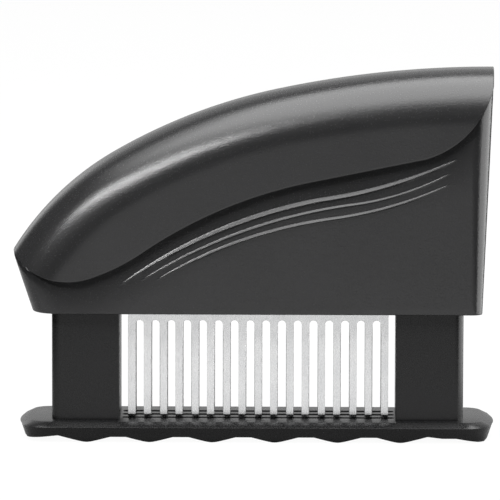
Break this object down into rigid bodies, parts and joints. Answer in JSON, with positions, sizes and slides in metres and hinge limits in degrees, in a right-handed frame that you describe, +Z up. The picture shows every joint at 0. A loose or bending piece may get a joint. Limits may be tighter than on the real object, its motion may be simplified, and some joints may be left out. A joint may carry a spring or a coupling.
{
  "type": "blade meat tenderizer",
  "caption": "Hand-pressed blade meat tenderizer: arched palm handle with rows of steel tines that plunge through a slotted, spring-loaded guard plate on hollow posts.",
  "frame": {"origin": "middle of the tool's footprint, at the height of the lobes that the guard plate stands on", "axes": "+X along the length from nose to tail, +Y across the width, +Z up; the handle plunges along -Z"},
  "size_m": [0.1526, 0.038, 0.1175],
  "materials": {
    "handle_plastic": "black ABS with a fine moulded grain, satin",
    "carrier_plastic": "black ABS, plain moulded",
    "guard_plastic": "black ABS with a fine moulded grain",
    "blade_steel": "stamped stainless strip with ground edges and tips",
    "fastener_steel": "plated screws, bolts and nuts",
    "spring_steel": "drawn stainless spring wire"
  },
  "bodies": {
    "guard": {"guard_plate": "guard_plastic", "column_left": "guard_plastic", "column_right": "guard_plastic", "column_screws": "fastener_steel", "return_spring_left": "spring_steel", "return_spring_right": "spring_steel"},
    "handle": {"handle_shell": "handle_plastic", "blade_carrier": "carrier_plastic", "blade_comb_front": "blade_steel", "blade_comb_middle": "blade_steel", "blade_comb_rear": "blade_steel", "comb_spacer_front": "carrier_plastic", "comb_spacer_rear": "carrier_plastic", "clamp_bolts": "fastener_steel", "clamp_nuts": "fastener_steel", "carrier_screws": "fastener_steel"}
  },
  "joints": [
    {"name": "press", "type": "slide", "parent": "guard", "child": "handle", "axis": [0, 0, -1], "range_m": [0, 0.022], "stiffness_N_per_m": 1000, "springref_m": -0.015, "deforming": ["return_spring_left", "return_spring_right"]}
  ]
}
